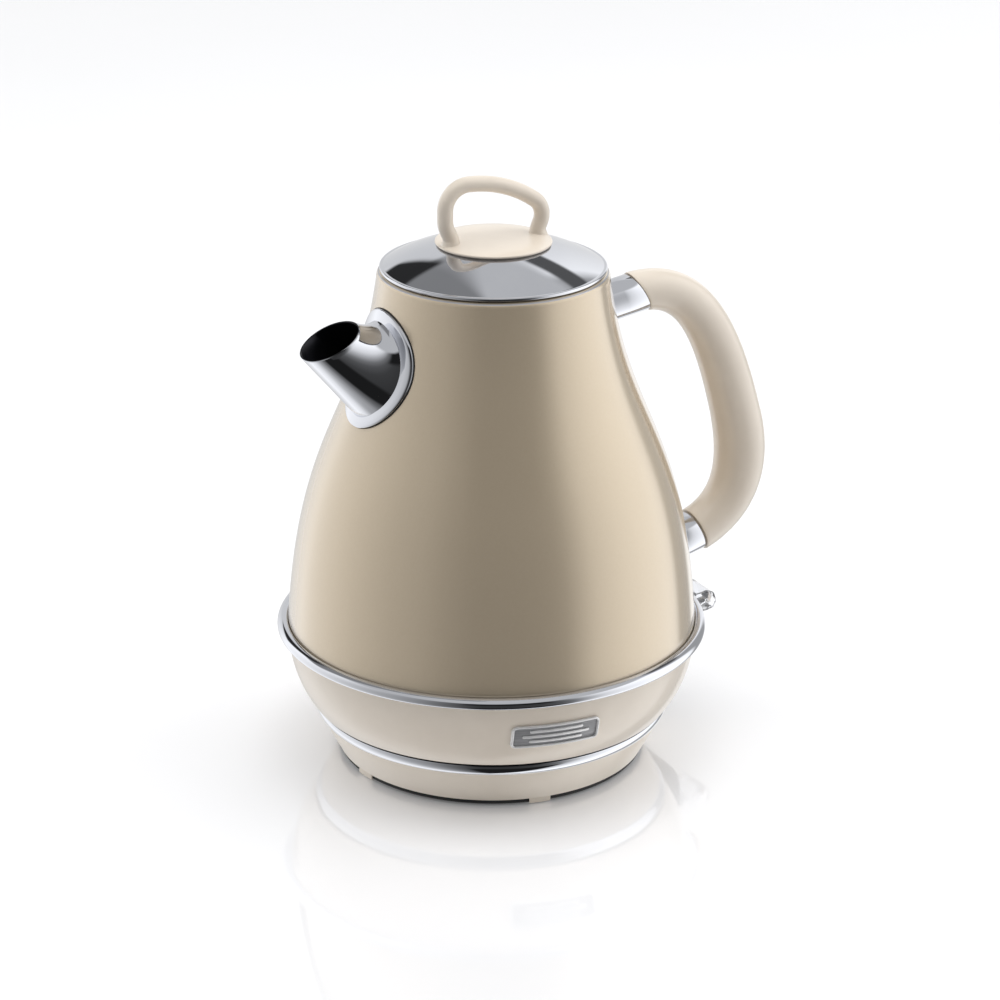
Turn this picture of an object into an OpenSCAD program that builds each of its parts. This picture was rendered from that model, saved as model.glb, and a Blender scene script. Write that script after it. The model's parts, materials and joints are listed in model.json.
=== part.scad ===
// Cordless electric kettle on its power base.
// Origin: on the kettle's axis, on the surface that the base stands on.
// +Z is up, the spout points to -X, the handle to +X, the badge to -Y.

/* [Body] */
// Radius of the body just above the belt ring
belt_r = 87.4; // [84:0.1:90]
// Height of the belt ring's top edge
belt_z = 60; // [59:0.5:61]
// Radius of the body at the foot of its top shoulder
neck_r = 48.4; // [47.5:0.1:49]
// Height of the foot of the top shoulder
neck_z = 212; // [211:0.5:213]
// Thickness of the painted steel shell
shell_wall = 0.9; // [0.8:0.1:1.2]

/* [Spout] */
// Outer radius of the spout tube
spout_r = 13.1; // [12.5:0.1:14]
// Wall of the spout tube
spout_wall = 0.9; // [0.7:0.1:1.2]
// Rise of the spout tube above the horizontal, in degrees
spout_rise = 48.7; // [46:0.1:52]
// Slope of the oblique cut across the mouth, in degrees
mouth_slope = 26.6; // [22:0.1:30]
// Radius of the flange against the body
flange_r = 23.7; // [23:0.1:24.5]

/* [Handle] */
// Radius of the grip at its upper end
grip_top_r = 8.9; // [8.5:0.1:9.5]
// Radius of the grip where it is thickest
grip_max_r = 11.3; // [10.5:0.1:12]
// Radius of the grip at its lower end
grip_low_r = 10.1; // [9.5:0.1:10.8]
// Radius of the upper ferrule
upper_ferrule_r = 8.9; // [8.5:0.1:9.5]
// Radius of the lower ferrule
lower_ferrule_r = 9.2; // [8.5:0.1:9.8]

/* [Lid] */
// Radius of the lid's rolled rim
lid_r = 47.2; // [46.8:0.1:47.6]
// Radius of the lid knob's cap
cap_r = 24.3; // [24.2:0.1:26]
// Thickness of the lid knob's loop
loop_d = 6.6; // [5.5:0.1:7.5]
// Angle at which the lid sits on the kettle, in degrees
lid_turn = -2.5; // [-180:0.5:180]

/* [Skirt and badge] */
// Outer radius of the belt ring
ring_r = 92; // [91:0.1:93]
// Outer radius of the skirt under the belt ring
skirt_top_r = 88; // [87.5:0.1:88.4]
// Outer radius of the skirt's lower edge
skirt_low_r = 77.2; // [77:0.1:77.6]
// Angle of the badge round the skirt, in degrees from +X
badge_angle = -100; // [-110:1:-80]
// Width of the badge
badge_w = 38; // [30:1:42]
// Height of the badge
badge_h = 11; // [9:0.5:12]

/* [Power base] */
// Radius of the base shell's lower edge
base_low_r = 66.4; // [65:0.1:68]
// Radius of the base shell under the trim ring
base_top_r = 74.2; // [74:0.1:74.8]
// Height of the deck that the kettle stands on
deck_z = 18.5; // [18.2:0.1:18.8]
// Number of small tabs round the lower edge
tab_count = 5; // [3:1:8]
// Radius of the cord outlet in the gland
cord_r = 3.6; // [3:0.1:4]

/* [Switch] */
// Half width of the lever's paddle
paddle_half_w = 9; // [7:0.5:10]
// Radius of the lever's pivot pin
pivot_r = 1.5; // [1.2:0.1:1.8]
// Running clearance of the lever on its pin
pivot_gap = 0.05; // [0.02:0.01:0.1]

/* [Hidden] */

$fn = 96;
eps = 0.01;
gap = 0.3; // clearance between pieces of different bodies

cream = [0.90, 0.85, 0.76];
champagne = [0.86, 0.79, 0.66];
chrome = [0.82, 0.83, 0.86];
steel = [0.70, 0.71, 0.73];
black = [0.08, 0.08, 0.09];
brass = [0.80, 0.65, 0.35];

// Places
flange_z = 180;
spout_foot = [-57.2, 173.9];   // where the spout's axis crosses the body, x and z
spout_reach = 27.3;            // from there to the middle of the mouth
plate_z = 58.2;                // underside of the heating plate
plate_t = 1.2;
inner_r = belt_r - shell_wall; // inside of the shell round the plate
skirt_low_z = 24.6;
skirt_wall = 2.2;
skirt_top_z = 56.2;
ring_low_z = 55.4;
trim_low_z = 18.9;
trim_top_z = 23.6;
gland_z = 10;
shell_low_z = 56.6;            // lower edge of the body shell, behind the belt ring
shoulder_r = 2.6;
rim_z = 215.7;                 // middle of the lid's rolled rim
rim_r = 0.8;
cap_z = 225.8;                 // underside of the knob's cap
upper_end = [69.5, 194.6];     // grip centreline ends, x and z
lower_end = [101.6, 79.9];
upper_rise = 9;                // ferrules' rise outwards, in degrees
lower_rise = 14;
upper_screw_z = 192.4;
lower_screw_z = 77.4;
pivot_x = 83.5;
pivot_z = 46;
cover_screw_r = 60;
base_screw_r = 44;

// Point at t on a cubic Bezier curve p
function bezier(p, t) =
    pow(1 - t, 3) * p[0] + 3 * t * pow(1 - t, 2) * p[1]
    + 3 * t * t * (1 - t) * p[2] + pow(t, 3) * p[3];

// n + 1 points along a Bezier curve
function curve(p, n) = [for (i = [0:n]) bezier(p, i / n)];

// n + 1 points on an arc from angle a to angle b
function arc(centre, r, a, b, n) =
    [for (i = [0:n]) centre + r * [cos(a + (b - a) * i / n), sin(a + (b - a) * i / n)]];

function reversed(list) = [for (i = [len(list) - 1:-1:0]) list[i]];

// The body's outline as radius and height, pushed out by d, from the belt to the shoulder
body_curve = [[belt_r, belt_z], [81.6, 146.3], [56.9, 148.4], [neck_r, neck_z]];
function body_outline(d, n = 26) = [for (p = curve(body_curve, n)) [p[0] + d, p[1]]];

// The skirt's outline, pushed out by d, from its lower edge to the belt ring
skirt_curve = [[skirt_low_r, skirt_low_z], [83.2, 32.5], [86.6, 41], [skirt_top_r, skirt_top_z]];
function skirt_outline(d, n = 12) = [for (p = curve(skirt_curve, n)) [p[0] + d, p[1]]];

// Turns an x,z outline's solid into the plane of the handle and the spout
module upright() {
    rotate([90, 0, 0]) children();
}

// Places children with +Z along the spout's axis, at the point where it crosses the body
module on_spout_axis() {
    translate([spout_foot[0], 0, spout_foot[1]])
        rotate([0, spout_rise - 90, 0])
            children();
}

module ring(r_out, r_in, z, h) {
    translate([0, 0, z])
        difference() {
            cylinder(r = r_out, h = h);
            translate([0, 0, -eps]) cylinder(r = r_in, h = h + 2 * eps);
        }
}

// A closed solid through a list of rings, each with the same number of points
module skin(rings) {
    n = len(rings[0]);
    last = len(rings) - 1;
    sides = [for (i = [0:last - 1], k = [0:n - 1])
        let (a = i * n, b = a + n, m = (k + 1) % n) [a + k, a + m, b + m, b + k]];
    ends = [[for (k = [n - 1:-1:0]) k], [for (k = [0:n - 1]) last * n + k]];
    polyhedron([for (r = rings) each r], concat(sides, ends), convexity = 6);
}

// A screw that points up: a pan head below and a plain shank
module screw(head_r, head_h, shank_r, length) {
    cylinder(r = head_r, h = head_h, $fn = 32);
    translate([0, 0, head_h - eps]) cylinder(r = shank_r, h = length, $fn = 32);
}

// ---- Power base ----

base_curve = [[base_low_r, 3.1], [68.8, 8], [72, 13], [base_top_r, trim_low_z]];

module base_shell() {
    wall = 2.2;
    outside = curve(base_curve, 8);
    inside = [for (p = reversed(outside)) [p[0] - wall, min(p[1], deck_z - wall)]];
    color(cream)
        difference() {
            union() {
                rotate_extrude()
                    polygon(concat(outside, [[71.6, trim_low_z], [71.6, deck_z], [20, deck_z],
                        [20, deck_z - wall]], inside));
                for (i = [0:tab_count - 1])
                    rotate([0, 0, badge_angle - 4 + i * 360 / tab_count])
                        rotate_extrude(angle = 8)
                            polygon([[base_low_r - 1.8, 0.8], [base_low_r - 0.2, 0.8],
                                [base_low_r - 0.2, 3.6], [base_low_r - 1.5, 3.6]]);
                for (a = [60:120:300])
                    rotate([0, 0, a])
                        translate([base_screw_r, 0, 4.2])
                            cylinder(r = 3.6, h = deck_z - 1.2 - 4.2, $fn = 32);
            }
            for (a = [60:120:300])
                rotate([0, 0, a])
                    translate([base_screw_r, 0, 3])
                        cylinder(r = 1.5, h = 11, $fn = 32);
            translate([60, 0, gland_z]) rotate([0, 90, 0]) cylinder(r = 5.2, h = 20);
        }
}

module base_trim_ring() {
    color(chrome)
        rotate_extrude()
            polygon(concat([[71.7, trim_low_z], [74.6, trim_low_z]],
                curve([[74.8, trim_low_z + 0.1], [76.2, 20.4], [77, 22.6],
                    [76.3, trim_top_z]], 6),
                [[73.4, trim_top_z], [71.7, 22]]));
}

module base_bottom_plate() {
    color(black)
        difference() {
            union() {
                translate([0, 0, 1.8]) cylinder(r = 63.9, h = 2.2);
                cylinder(r = 22, h = 2);
            }
            for (a = [60:120:300])
                rotate([0, 0, a])
                    translate([base_screw_r, 0, 1]) {
                        cylinder(r = 1.5, h = 4, $fn = 32);
                        cylinder(r = 3.2, h = 1.9, $fn = 32);
                    }
            for (a = [0:90:270])
                rotate([0, 0, a])
                    translate([54, 0, 1]) cylinder(r = 6, h = 1.6, $fn = 48);
        }
}

module rubber_feet() {
    color(black)
        for (a = [0:90:270])
            rotate([0, 0, a])
                translate([54, 0, 0]) {
                    cylinder(r = 6, h = 2.6, $fn = 48);
                }
}

module base_screws() {
    color(steel)
        for (a = [60:120:300])
            rotate([0, 0, a])
                translate([base_screw_r, 0, 1.3]) screw(2.8, 1.6, 1.5, 9);
}

module cord_gland() {
    color(black)
        translate([0, 0, gland_z])
            rotate([0, 90, 0])
                difference() {
                    union() {
                        translate([0, 0, 62.4]) cylinder(r = 5.19, h = 9.1);
                        translate([0, 0, 62.4]) cylinder(r = 5.9, h = 1.8);
                    }
                    translate([0, 0, 60]) cylinder(r = cord_r, h = 12);
                }
}

module base_socket() {
    color(black)
        difference() {
            union() {
                translate([0, 0, 10]) cylinder(r = 16, h = 17);
                translate([0, 0, 10]) cylinder(r = 19.4, h = 5.6);
            }
            translate([0, 0, 12]) cylinder(r = 4, h = 16);
            ring(11.2, 8, 12, 16);
        }
}

module socket_contacts() {
    color(brass) {
        translate([0, 0, 12]) cylinder(r = 3.6, h = 1);
        ring(10.9, 8.3, 12, 1);
    }
}

// ---- Kettle ----

module body_shell() {
    shoulder = [neck_r - shoulder_r, neck_z];
    outside = concat([[belt_r, shell_low_z]], body_outline(0), arc(shoulder, shoulder_r, 15, 90, 5));
    inside = concat([[44.9, neck_z + shoulder_r], [44.9, neck_z + shoulder_r - shell_wall]],
        [[shoulder[0] + 1, neck_z + shoulder_r - shell_wall]],
        reversed(body_outline(-shell_wall)), [[inner_r, shell_low_z]]);
    color(champagne)
        difference() {
            rotate_extrude() polygon(concat(outside, inside));
            on_spout_axis() translate([0, 0, -20]) cylinder(r = spout_r - 0.6, h = 40);
            for (z = [upper_screw_z, lower_screw_z])
                translate([40, 0, z]) rotate([0, 90, 0]) cylinder(r = 2.1, h = 60, $fn = 32);
        }
}

module neck_ring() {
    color(steel)
        rotate_extrude()
            polygon([[42.2, 205], [43.1, 205], [43.1, 213.7], [44.9, 213.7],
                [44.9, neck_z + shoulder_r], [42.6, neck_z + shoulder_r], [42.2, 213.9]]);
}

// A solid of revolution that follows the body, d outside it
module body_solid(d) {
    outline = body_outline(d, 26);
    rotate_extrude()
        polygon(concat([[0, belt_z]], outline, [[0, neck_z]]));
}

module spout_cut_above_mouth() {
    // everything above the oblique plane through the middle of the mouth
    translate([spout_foot[0] - spout_reach * cos(spout_rise), 0,
        spout_foot[1] + spout_reach * sin(spout_rise)])
        rotate([0, -mouth_slope, 0])
            translate([-60, -60, 0]) cube([120, 120, 60]);
}

module spout() {
    skin = 0.5;
    color(chrome)
        difference() {
            union() {
                on_spout_axis() translate([0, 0, -17]) cylinder(r = spout_r, h = 62);
                on_spout_axis()
                    translate([0, 0, -16]) cylinder(r1 = 23, r2 = spout_r, h = 25);
                intersection() {
                    translate([-80, 0, flange_z]) rotate([0, 90, 0]) cylinder(r = flange_r, h = 40);
                    body_solid(skin + 1);
                }
            }
            body_solid(skin);
            on_spout_axis() translate([0, 0, -30]) cylinder(r = spout_r - spout_wall, h = 90);
            spout_cut_above_mouth();
            translate([0, -50, 100]) cube([100, 100, 120]);
        }
}

module spout_gasket() {
    color(black)
        difference() {
            intersection() {
                translate([-80, 0, flange_z]) rotate([0, 90, 0])
                    cylinder(r = flange_r + 0.3, h = 60);
                body_solid(0.48);
            }
            body_solid(0.03);
            on_spout_axis() translate([0, 0, -30]) cylinder(r = spout_r + 1, h = 90);
        }
}

module belt_ring() {
    color(chrome)
        rotate_extrude()
            polygon(concat([[belt_r + 0.3, ring_low_z + 0.9], [belt_r + 0.3, belt_z]],
                curve([[belt_r + 0.7, belt_z + 0.3], [90.4, belt_z + 0.3],
                    [ring_r, 59], [ring_r, 57.4]], 6),
                curve([[ring_r, 57.4], [ring_r, 56.2], [90.6, ring_low_z],
                    [skirt_top_r + 0.1, ring_low_z]], 5),
                [[skirt_top_r + 0.1, ring_low_z + 0.9]]));
}

module skirt() {
    outside = skirt_outline(0);
    inside = [for (p = reversed(skirt_outline(-skirt_wall))) [min(p[0], belt_r - 2), p[1]]];
    color(cream)
        difference() {
            rotate_extrude() polygon(concat(outside, inside));
            translate([60, -13, 20]) cube([40, 26, 34]);
        }
}

// A rounded plate that stands on the skirt's front and follows its curve, up to out_r
module badge_slab(w, h, corner, push) {
    intersection() {
        rotate([0, 0, badge_angle])
            rotate([90, 0, 90])
                linear_extrude(100)
                    translate([0, 41])
                        union() {
                            square([w - 2 * corner, h], center = true);
                            square([w, h - 2 * corner], center = true);
                            for (i = [-1, 1], j = [-1, 1])
                                translate([i * (w / 2 - corner), j * (h / 2 - corner)])
                                    circle(r = corner, $fn = 32);
                        }
        rotate_extrude()
            polygon(concat([[78, skirt_low_z]], skirt_outline(push), [[78, skirt_top_z]]));
    }
}

module badge_frame() {
    color(chrome)
        difference() {
            badge_slab(badge_w, badge_h, 2.4, 1.4);
            badge_slab(badge_w - 2.2, badge_h - 2.2, 1.4, 3);
            rotate_extrude()
                polygon(concat([[70, skirt_low_z]], skirt_outline(0.02), [[70, skirt_top_z]]));
        }
}

module badge_plate() {
    rib_count = 3;
    color(steel)
        difference() {
            union() {
                badge_slab(badge_w - 2.3, badge_h - 2.3, 1.3, 0.5);
                for (i = [0:rib_count - 1])
                    intersection() {
                        badge_slab(badge_w - 8, badge_h - 3, 0.8, 1);
                        rotate([0, 0, badge_angle])
                            translate([80, -20, 41 + (i - (rib_count - 1) / 2) * 2.4 - 0.5])
                                cube([20, 40, 1]);
                    }
            }
            rotate_extrude()
                polygon(concat([[70, skirt_low_z]], skirt_outline(0.02), [[70, skirt_top_z]]));
        }
}

// ---- Handle ----

grip_upper = [upper_end, [95.5, 196.2], [109, 175.9], [120.4, 133.5]];
grip_lower = [[120.4, 133.5], [123.5, 121.9], [131, 91.6], lower_end];
grip_rings = 18; // rings along each half of the grip
grip_sides = 20;

function grip_centre(s) = s <= 1 ? bezier(grip_upper, s) : bezier(grip_lower, s - 1);
function heading(p, t) =
    let (v = pow(1 - t, 2) * (p[1] - p[0]) + 2 * t * (1 - t) * (p[2] - p[1]) + t * t * (p[3] - p[2]))
    v / norm(v);
function grip_tangent(s) = s <= 1 ? heading(grip_upper, s) : heading(grip_lower, s - 1);
// Radius along the grip: it swells towards the lower half and eases at its foot
function grip_r(s) =
    s < 1.35 ? grip_top_r + (grip_max_r - grip_top_r) * (1 - cos(180 * s / 1.35)) / 2
             : grip_max_r + (grip_low_r - grip_max_r) * (1 - cos(180 * (s - 1.35) / 0.65)) / 2;
// The upper end is cut obliquely, and the cut eases out along the first part of the grip
oblique = 25;
function grip_lean(s) = s < 0.3 ? oblique * (1 - s / 0.3) : 0;
function grip_ring(s) =
    let (c = grip_centre(s), t = grip_tangent(s), r = grip_r(s), lean = tan(grip_lean(s)))
    [for (k = [0:grip_sides - 1])
        let (a = 360 * k / grip_sides, u = r * cos(a))
        [c[0] - t[1] * u - t[0] * u * lean, r * sin(a), c[1] + t[0] * u - t[1] * u * lean]];

module handle_grip() {
    color(cream) skin([for (i = [0:2 * grip_rings]) grip_ring(i / grip_rings)]);
}

// Slopes of the grip's two ends, in degrees, from its centreline's end points
grip_upper_slope = atan2(grip_upper[1][1] - grip_upper[0][1], grip_upper[1][0] - grip_upper[0][0]);
grip_lower_slope = atan2(grip_lower[2][1] - grip_lower[3][1], grip_lower[2][0] - grip_lower[3][0]);

// Everything outwards of the grip's end face at the point p, and a hair more
module past_seam(p, slope) {
    translate([p[0], -20, p[1]]) rotate([0, -slope, 0]) translate([-0.05, 0, -30]) cube([40, 40, 60]);
}

// Places children with +Z outwards along a ferrule that ends at the point p
module on_ferrule(p, rise) {
    translate([p[0], 0, p[1]]) rotate([0, 90 - rise, 0]) children();
}

module upper_ferrule() {
    color(chrome)
        difference() {
            on_ferrule(upper_end, upper_rise)
                translate([0, 0, -24]) cylinder(r = upper_ferrule_r - 0.2, h = 40);
            past_seam(upper_end, oblique + grip_upper_slope);
            body_solid(0.02);
            translate([40, 0, upper_screw_z]) rotate([0, 90, 0]) cylinder(r = 1.61, h = 24, $fn = 32);
        }
}

module lower_ferrule() {
    color(chrome)
        difference() {
            on_ferrule(lower_end, lower_rise)
                translate([0, 0, -20]) cylinder(r = lower_ferrule_r, h = 30);
            past_seam(lower_end, grip_lower_slope);
            body_solid(0.02);
            translate([60, 0, lower_screw_z]) rotate([0, 90, 0]) cylinder(r = 1.61, h = 38, $fn = 32);
        }
}

module handle_backing_plates() {
    color(steel)
        difference() {
            union() {
                intersection() {
                    translate([40, -9, 181]) cube([30, 18, 22]);
                    body_solid(-shell_wall - 0.02);
                }
                intersection() {
                    translate([70, -9, 68]) cube([30, 18, 20]);
                    body_solid(-shell_wall - 0.02);
                }
            }
            body_solid(-shell_wall - 1.6);
            for (z = [upper_screw_z, lower_screw_z])
                translate([40, 0, z]) rotate([0, 90, 0]) cylinder(r = 2.1, h = 60, $fn = 32);
        }
}

module handle_screws() {
    color(steel) {
        translate([46.7, 0, upper_screw_z]) rotate([0, 90, 0]) screw(3.4, 1.8, 1.6, 14);
        translate([80.6, 0, lower_screw_z]) rotate([0, 90, 0]) screw(3.4, 2, 1.6, 14);
    }
}

// ---- Heater and control ----

module heating_plate() {
    color(steel) translate([0, 0, plate_z]) cylinder(r = inner_r - 1.6, h = plate_t);
}

module plate_seal() {
    color(black)
        rotate_extrude()
            difference() {
                translate([inner_r - 4, plate_z - 1.5]) square([3.9, plate_t + 3]);
                translate([inner_r - 5, plate_z - 0.01]) square([3.41, plate_t + 0.02]);
            }
}

module heater_element() {
    tube_r = 3.3;
    bend_r = 34;
    color(steel) {
        translate([0, 0, plate_z - 2.6]) cylinder(r = 42, h = 2.58);
        translate([0, 0, plate_z - 5.2])
            rotate([0, 0, 30]) {
                rotate_extrude(angle = 300)
                    translate([bend_r, 0]) circle(r = tube_r, $fn = 32);
                for (a = [0, 300])
                    rotate([0, 0, a])
                        translate([bend_r, 0, -14])
                            cylinder(r = tube_r - 0.1, h = 14, $fn = 32);
            }
    }
}

module control_body() {
    color(black)
        difference() {
            union() {
                translate([0, 0, 22]) cylinder(r = 21, h = 22);
                translate([0, -8, 30]) cube([24, 16, 14]);
                // terminals that the lead wires end at
                for (a = [30, 330])
                    rotate([0, 0, a]) translate([19, -2, 39]) cube([5.6, 4, 4.5]);
            }
            translate([0, 0, 21]) cylinder(r = 17, h = 6.6);
            translate([0, 0, 43]) cylinder(r = 9.6, h = 2);
        }
}

module bimetal_disc() {
    dome_r = 40;
    color(steel)
        translate([0, 0, 43.2])
            intersection() {
                cylinder(r = 9, h = 3);
                difference() {
                    translate([0, 0, 1.4 - dome_r]) sphere(r = dome_r);
                    translate([0, 0, 1 - dome_r]) sphere(r = dome_r);
                }
            }
}

module connector_pins() {
    color(brass) {
        translate([0, 0, 13.4]) cylinder(r = 2.4, h = 14.2, $fn = 48);
        ring(10.2, 9, 13.4, 14.2);
    }
}

module lead_wires() {
    color([0.75, 0.2, 0.15])
        for (a = [30, 330])
            rotate([0, 0, a])
                translate([28.4, 0, 38.98])
                    rotate([-90, 0, 0])
                        rotate_extrude(angle = 180)
                            translate([5.6, 0]) circle(r = 0.9, $fn = 24);
}

module indicator_lamp() {
    color([1, 0.5, 0.3])
        translate([66, 0, 40]) {
            cylinder(r = 2.4, h = 9, $fn = 32);
            translate([0, 0, 9]) sphere(r = 2.4, $fn = 32);
        }
}

// ---- Switch ----

housing_side = [[78, 25.2], [83.2, 25.2], [87.6, 30], [89.8, 37], [90, 47], [88.6, 53.4], [78, 53.4]];

module switch_housing() {
    color(black)
        difference() {
            translate([0, 12.8, 0]) upright() linear_extrude(25.6) polygon(housing_side);
            // the slot that the lever rocks in
            translate([60, -10.4, 33]) cube([40, 20.8, 19]);
            translate([pivot_x, 13, pivot_z]) rotate([90, 0, 0]) cylinder(r = pivot_r, h = 26);
        }
}

module switch_pivot() {
    color(steel)
        translate([pivot_x, 12.6, pivot_z]) rotate([90, 0, 0]) cylinder(r = pivot_r, h = 25.2);
}

lever_side = [[80.4, 43.4], [93, 43.6], [104, 43.4], [107.4, 44.2], [108.8, 47], [107.6, 50.4],
    [104.4, 51.6], [98, 50.2], [92, 49], [80.4, 48.6]];

module switch_lever() {
    color([0.9, 0.92, 0.95, 0.5])
        difference() {
            translate([0, paddle_half_w, 0])
                upright() linear_extrude(2 * paddle_half_w) polygon(lever_side);
            translate([pivot_x, 20, pivot_z])
                rotate([90, 0, 0]) cylinder(r = pivot_r + pivot_gap, h = 40);
        }
}

// ---- Underside of the kettle ----

module bottom_cover() {
    color(black)
        difference() {
            union() {
                rotate_extrude()
                    polygon([[21.6, 21], [66, 21], [66, deck_z + gap], [69.4, deck_z + gap],
                        [69.4, 24.4], [74.8, 24.4], [74.8, 26.4], [67.4, 26.4], [67.4, 23],
                        [21.6, 23]]);
                for (a = [45:90:315])
                    rotate([0, 0, a]) translate([cover_screw_r, 0, 22.9])
                        cylinder(r = 3.4, h = 9, $fn = 32);
            }
            for (a = [45:90:315])
                rotate([0, 0, a]) translate([cover_screw_r, 0, 20]) {
                    cylinder(r = 1.5, h = 11, $fn = 32);
                    cylinder(r = 3, h = 2.2, $fn = 32);
                }
        }
}

module cover_screws() {
    color(steel)
        for (a = [45:90:315])
            rotate([0, 0, a]) translate([cover_screw_r, 0, 20.8]) screw(2.7, 1.4, 1.5, 8);
}

// ---- Spout filter ----

filter_lean = 70; // slope of the wall behind the spout, in degrees

module on_filter() {
    translate([spout_foot[0] + 6.4, 0, spout_foot[1] - 2]) rotate([0, 90 - filter_lean, 0])
        rotate([0, 90, 0]) children();
}

module filter_frame() {
    color(black)
        on_filter() {
            ring(16, 13.5, -1.2, 2.4);
            for (a = [-18, 18])
                rotate([0, 0, a + 180]) translate([15.4, -1.2, -1.2]) cube([4.4, 2.4, 1.6]);
        }
}

module filter_mesh() {
    pitch = 3;
    color(steel)
        on_filter()
            difference() {
                translate([0, 0, -0.25]) cylinder(r = 13.5, h = 0.5);
                for (i = [-3:3], j = [-3:3])
                    if (norm([i, j]) * pitch < 11)
                        translate([i * pitch, j * pitch, -1]) cylinder(r = 0.9, h = 2, $fn = 16);
            }
}

// ---- Lid ----

loop_start = [-19.3, 226.5];
loop_feet = [-19.3, 20.31]; // x of the two feet
loop_sides = 16;
// The loop from its left foot over to its right one: [radius, turn] is an arc to the right, both
// negative for one to the left, and [0, length] is straight
loop_steps = [[0, 2.1], [-5, -25], [0, 3], [10, 25], [0, 3.74], [10.4, 90],
    [51.5, 36], [8.1, 76], [0, 2.05], [-5, -22], [0, 2.1]];

// Points and headings, as x, z and degrees, along one step from point p and heading h
function step_points(p, h, step) =
    step[0] == 0 ? [[p[0] + step[1] * cos(h), p[1] + step[1] * sin(h), h]]
    : let (n = ceil(abs(step[1]) / 8), centre = p + step[0] * [sin(h), -cos(h)])
      [for (i = [1:n]) let (g = h - step[1] * i / n)
          [centre[0] - step[0] * sin(g), centre[1] + step[0] * cos(g), g]];

// Points and headings along all the steps from step i on
function walk(steps, p, h, i = 0) =
    i == len(steps) ? []
    : let (points = step_points(p, h, steps[i]), e = points[len(points) - 1])
      concat(points, walk(steps, [e[0], e[1]], e[2], i + 1));

module lid_loop() {
    path = concat([[loop_start[0], loop_start[1], 90]], walk(loop_steps, loop_start, 90));
    rings = [for (q = path)
        [for (k = [0:loop_sides - 1])
            let (a = 360 * k / loop_sides, u = loop_d / 2 * cos(a))
            [q[0] - sin(q[2]) * u, loop_d / 2 * sin(a), q[1] + cos(q[2]) * u]]];
    color(cream) rotate([0, 0, lid_turn]) skin(rings);
}

// Holes along +Z at the two feet of the loop
module at_feet() {
    rotate([0, 0, lid_turn])
        for (x = loop_feet)
            translate([x, 0, 0]) children();
}

module lid_cone() {
    top = 225.55;
    color(chrome)
        difference() {
            rotate_extrude()
                difference() {
                    union() {
                        translate([lid_r - rim_r, rim_z]) circle(r = rim_r, $fn = 32);
                        polygon(concat(
                            curve([[lid_r - 0.8, rim_z + 0.4], [41, 219.2], [33, 222.7], [23.4, top]], 8),
                            [[6, top], [6, top - 0.8]],
                            reversed(curve([[lid_r - 1.4, rim_z - 0.3], [40.6, 218.4],
                                [32.6, 221.9], [23.1, top - 0.8]], 8))));
                    }
                    translate([0, 200]) square([8, 60]);
                }
            at_feet() translate([0, 0, 220]) cylinder(r = 1.5, h = 20, $fn = 32);
        }
}

module lid_cap() {
    cap_top = 228.6;
    dome = [[0, cap_top], [12, cap_top], [20, 227.8], [cap_r - 0.7, cap_z + 1.1]];
    color(cream)
        difference() {
            rotate_extrude()
                polygon(concat(curve(dome, 10), arc([cap_r - 0.6, cap_z + 0.6], 0.6, 60, -90, 5),
                    [[22.8, cap_z], [22.6, 225.57], [0, 225.57]]));
            at_feet() translate([0, 0, 220]) cylinder(d = loop_d + 0.2, h = 20, $fn = 48);
        }
}

module lid_plug() {
    color(steel)
        difference() {
            union() {
                rotate_extrude()
                    polygon([[0, 205.2], [36, 205.2], [40.4, 207], [41.4, 211], [41.4, 214.9],
                        [44.2, 214.9], [44.2, 215.5], [41, 215.5], [29.4, 222.4], [14, 222.4],
                        [14, 221.2], [29, 221.2], [40, 214.6], [40, 211.4], [39.2, 208.2],
                        [35.6, 206.6], [0, 206.6]]);
                at_feet() translate([0, 0, 221.6]) cylinder(r = 3.4, h = 3.1, $fn = 48);
            }
            at_feet() translate([0, 0, 210]) cylinder(r = 1.5, h = 20, $fn = 32);
            at_feet() translate([0, 0, 200]) cylinder(r = 3.2, h = 10, $fn = 32);
        }
}

module lid_seal() {
    color([0.85, 0.85, 0.83])
        rotate_extrude()
            polygon([[41.4, 207.6], [41.9, 208.4], [41.9, 209.6], [41.4, 211]]);
}

module lid_screws() {
    color(steel)
        at_feet() translate([0, 0, 219.45]) screw(2.8, 1.7, 1.4, 10);
}

base_shell();
base_trim_ring();
base_bottom_plate();
rubber_feet();
base_screws();
cord_gland();
base_socket();
socket_contacts();
body_shell();
neck_ring();
spout();
spout_gasket();
belt_ring();
skirt();
badge_frame();
badge_plate();
handle_grip();
upper_ferrule();
lower_ferrule();
handle_backing_plates();
handle_screws();
heating_plate();
plate_seal();
heater_element();
bimetal_disc();
control_body();
connector_pins();
lead_wires();
indicator_lamp();
switch_housing();
switch_pivot();
bottom_cover();
cover_screws();
switch_lever();
filter_frame();
filter_mesh();
lid_cone();
lid_cap();
lid_loop();
lid_plug();
lid_seal();
lid_screws();
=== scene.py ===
import bisect
import json
import math

import bmesh
import bpy
from mathutils import Matrix, Vector


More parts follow.
